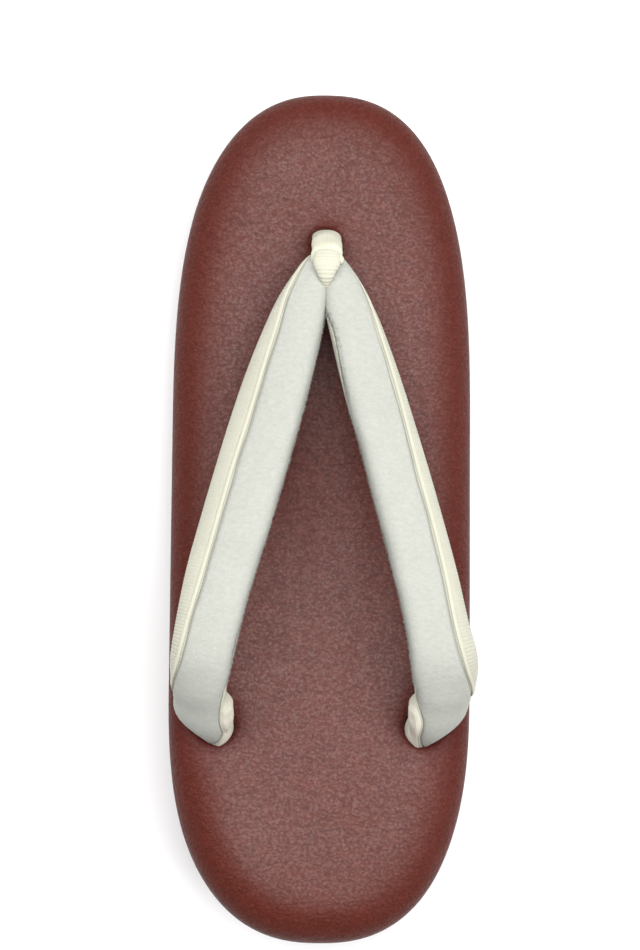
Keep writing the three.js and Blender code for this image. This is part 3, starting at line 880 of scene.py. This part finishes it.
def strap_lining(side, name):
    """Ribbed lining, a thin closed wall from the outer seam round the underside to the inner seam. The ribs
    are a cosine of the length along the strap, and lengthwise gathers swell the inner side where the end is
    drawn in."""
    sweep = strap_sweep(side, 920)
    outer, inner = sweep.outer_seam[:, None], sweep.inner_seam[:, None]
    s = np.linspace(0, 1, 46)[None]
    turned = inner - 2 * math.pi - outer
    length = sweep.length[:, None]
    ribs = RIB_HEIGHT * np.cos(2 * math.pi * length / RIB_PITCH + 0.5 * np.sin(length / 7 + 4 * s))
    edge = np.minimum(s, 1 - s) / 0.03
    tucked = -0.75 * np.exp(-(edge**2))
    rear = (smooth_share(sweep.t, 11.25, 11.7) * (1 - 0.8 * smooth_share(sweep.t, 12.0, 13.4)))[:, None]
    near_inner = smooth_share(s, 0.62, 0.84)
    folds = np.sin(52 * s + 0.9 * np.sin(length / 2.7)) + 0.5 * np.sin(31 * s + 1.4 * np.sin(length / 1.9))
    gathers = rear * near_inner * (GATHER["swell"] + GATHER["fold"] * folds) * smooth_share(1 - s, 0.0, 0.05)
    grow = 0.12 + ribs * (1 - 0.7 * rear * near_inner) + tucked + gathers
    outside = sweep.at(outer + turned * s, grow)
    inner_s = np.linspace(1, 0, 16)[None]
    inside = sweep.at(outer + turned * inner_s, -LINING_THICKNESS)
    points = np.concatenate([outside, inside], axis=1)
    v = np.concatenate([arc_lengths(outside), inner_s * 30 + 0 * length], axis=1)
    uv = np.stack([length + 0 * v, v], axis=-1) * MM
    # Where the rear ends are drawn in, the lining takes their pinkish tone, lightened as painted light.
    pale = np.zeros(points.shape[:2])
    pale[:, : s.size] = smooth_share(sweep.t, 11.2, 12.0)[:, None] * near_inner
    values = {"pale": with_tips(pale, last=1)}
    return piece(name, [closed_skin(points, uv)], LINING, None, values)


def bead(sweep, angle, size):
    """A small rounded cord laid along a seam: a superellipse whose width lies in the strap's surface."""
    line = sweep.at(angle[:, None])[:, 0]
    ahead = sweep.at(angle[:, None] - 0.02)[:, 0]
    along_section = unit(ahead - line)
    path = unit(np.gradient(line, axis=0))
    normal = unit(np.cross(along_section, path))
    outwards = np.einsum("ij,ij->i", normal, line - sweep.centre)
    normal = normal * np.sign(outwards)[:, None]
    turns = np.linspace(0, 2 * math.pi, 16, endpoint=False)
    wide = signed_power(np.cos(turns), 0.8)[:, None] * size["width"] / 2
    high = signed_power(np.sin(turns), 0.8)[:, None] * size["height"] / 2
    middle = line + along_section * size["offset"]
    rings = middle[:, None] + wide * along_section[:, None] + high * normal[:, None]
    length = sweep.length[:, None] + 0 * turns[None]
    uv = np.stack([length, turns[None] * size["width"] / 2 + 0 * length], axis=-1) * MM
    return closed_skin(rings, uv)


def strap_piping(side, name):
    """Piping along both seams of an arm, on the lining's side of each."""
    sweep = strap_sweep(side, 420)
    outer = bead(sweep, sweep.outer_seam, PIPING)
    inner = bead(sweep, sweep.inner_seam, INNER_PIPING)
    return piece(name, [outer, inner], PIPING_CLOTH)


# -------- the toe thong


def band_sweep(rows, count, power=SECTION_POWER):
    """A level band of the thong through the rows of its table."""
    t = np.linspace(0, len(rows) - 1, count)
    x, y, h, width, thick = along(rows, t)
    centre = np.stack([x, y, surface_at(y) + h], axis=-1)
    across = np.tile([1.0, 0.0, 0.0], (count, 1))
    return Sweep(t, centre, across, width / 2, thick, power)


def band_skin(sweep, grow):
    """The rings of a tube round a band, and their map: u along the band and v round it."""
    angle = np.linspace(0, 2 * math.pi, 72, endpoint=False)[None]
    points = sweep.at(angle, grow(sweep, angle))
    v = np.broadcast_to(angle * 2.5, points.shape[:2])
    uv = np.stack([sweep.length[:, None] + 0 * v, v], axis=-1) * MM
    return points, uv


def thong_band():
    """The loop out of the hole and under the cap, with faint cross ribs and a soft pinch half way up."""

    def grow(sweep, angle):
        length = sweep.length[:, None]
        ribs = 0.02 * np.cos(2 * math.pi * length / RIB_PITCH)
        pinch = 0.14 * np.sin(length / 1.7 + 2 * np.cos(angle))
        return ribs + pinch + 0.08 * np.sin(length / 0.9 + 3 * np.sin(angle))

    points, uv = band_skin(band_sweep(THONG_BAND, 150, 2.4), grow)
    x = points[..., 0]
    points[..., 1] -= smooth_share(points[..., 1], 75, 80) * 0.03 * (x - 0.3) ** 2
    return piece("thong_band", [closed_skin(points, uv)], EDGING, "toe_thong")


CAP_LIP = {"half_width": 4.2, "arch": 0.35, "length": 2.5}


def thong_cap():
    """The ribbed end over the apex: its front lip is an arch, and it narrows to a point at the crotch."""
    sweep = band_sweep(THONG_CAP, 210, 2.1)

    def grow(sweep, angle):
        length = sweep.length[:, None]
        rib = 0.06 * np.cos(2 * math.pi * length / RIB_PITCH)
        return rib * smooth_share(length, 0.6, 1.6) - 0.5 * np.exp(-((length / 0.3) ** 2)) + 0 * angle

    points, uv = band_skin(sweep, grow)
    side = np.clip(points[..., 0] / CAP_LIP["half_width"], -1, 1)
    arch = CAP_LIP["arch"] * (1 - side**2) * (1 - smooth_share(sweep.length, 0, CAP_LIP["length"]))[:, None]
    points = points - arch[..., None] * sweep.path[:, None]
    lower = band_skin(band_sweep(THONG_RETURN, 150), lambda sweep, angle: 0 * angle)
    return piece("thong_cap", [closed_skin(points, uv), closed_skin(*lower)], PIPING_CLOTH)


FOLD = {"x": 4.1, "y": 72.1, "height": 13.4, "half_width": 0.95, "half_length": 1.5}
FOLD |= {"turn": 12, "bend": 0.12, "tilt": 0.25}


def thong_fold():
    """A little folded corner of the band that sticks out on the right: a squashed ellipsoid, bent back."""
    u = np.linspace(0.02, math.pi - 0.02, 30)[:, None]
    v = np.linspace(0, 2 * math.pi, 28, endpoint=False)[None]
    x = FOLD["half_width"] * np.sin(u) * np.cos(v)
    y = -FOLD["half_length"] * np.cos(u) + 0 * v
    z = FOLD["half_length"] * np.sin(u) * np.sin(v)
    turn = math.radians(FOLD["turn"])
    rings = np.stack([
        FOLD["x"] + x * math.cos(turn) - y * math.sin(turn) - FOLD["bend"] * y**2,
        FOLD["y"] + x * math.sin(turn) + y * math.cos(turn),
        surface_at(FOLD["y"]) + FOLD["height"] + z - FOLD["tilt"] * y,
    ], axis=-1)
    uv = np.stack([y + 0 * v, v + 0 * y], axis=-1) * MM
    return piece("thong_fold", [closed_skin(rings, uv)], EDGING)


# -------- the sandal

footbed()
side_wrap()
outsole()
outsole_tread()
for side, word in ((1, "right"), (-1, "left")):
    strap_face(side, f"strap_{word}_face")
    strap_nap(side, f"strap_{word}_nap")
    strap_lining(side, f"strap_{word}_lining")
    strap_piping(side, f"strap_{word}_piping")
thong_band()
thong_cap()
thong_fold()

# -------- floor, light and camera


def studio_floor():
    """A plain pale floor."""
    reach = 3.0
    mesh = bpy.data.meshes.new("studio_floor")
    corners = [(-reach, -reach, 0), (reach, -reach, 0), (reach, reach, 0), (-reach, reach, 0)]
    mesh.from_pydata(corners, [], [(0, 1, 2, 3)])
    finish = Finish("studio_floor", {"Roughness": 1.0, "Specular IOR Level": 0.0})
    haze = finish.noise(finish.place(), 0.6, 1.0, 0.5)
    finish.feed("Base Color", finish.mixed(haze, (0.93, 0.93, 0.93, 1), (0.95, 0.95, 0.95, 1)))
    mesh.materials.append(finish.material)
    placed("studio_floor", mesh)


def area_light(name, place, size, power):
    """A soft rectangular light facing the sandal. Size is in metres across X and Y, and power in watts."""
    light = bpy.data.lights.new(name, "AREA")
    light.shape = "RECTANGLE"
    light.size, light.size_y = size
    light.energy = power
    made = placed(name, light)
    made.location = place
    made.rotation_euler = made.location.to_track_quat("Z", "Y").to_euler()


def studio_light():
    """A wide soft light overhead, and an even pale surround."""
    area_light("overhead", (0.12, 0.3, 1.5), (4.2, 1.6), 94)
    world = bpy.data.worlds.new("surround")
    world.use_nodes = True
    background = next(n for n in world.node_tree.nodes if n.type == "BACKGROUND")
    background.inputs["Color"].default_value = (1, 1, 1, 1)
    background.inputs["Strength"].default_value = 0.06
    bpy.context.scene.world = world


def camera():
    """Nearly straight down from a metre up, a little to the left, rolled by less than a degree."""
    roll = math.radians(0.85)
    across = Vector((math.cos(roll), math.sin(roll), 0))
    up_page = Vector((-math.sin(roll), math.cos(roll), 0))
    aim_height, distance, aside, forward = 0.025, 1.0, -0.0429, 0.01165
    seen_length = 0.27004
    aim = up_page * forward + Vector((0, 0, aim_height))
    made = placed("camera", bpy.data.cameras.new("camera"))
    made.location = aim + across * aside + Vector((0, 0, distance))
    back = (made.location - aim).normalized()
    right = up_page.cross(back).normalized()
    turn = Matrix((right, back.cross(right), back)).transposed()
    made.rotation_euler = turn.to_euler()
    made.data.sensor_width = 36
    made.data.lens = 36 * (made.location - aim).length / seen_length
    made.data.clip_start, made.data.clip_end = 0.05, 20
    bpy.context.scene.camera = made


studio_floor()
studio_light()
camera()
bpy.context.scene.view_settings.view_transform = "Standard"

bpy.context.view_layer.update()
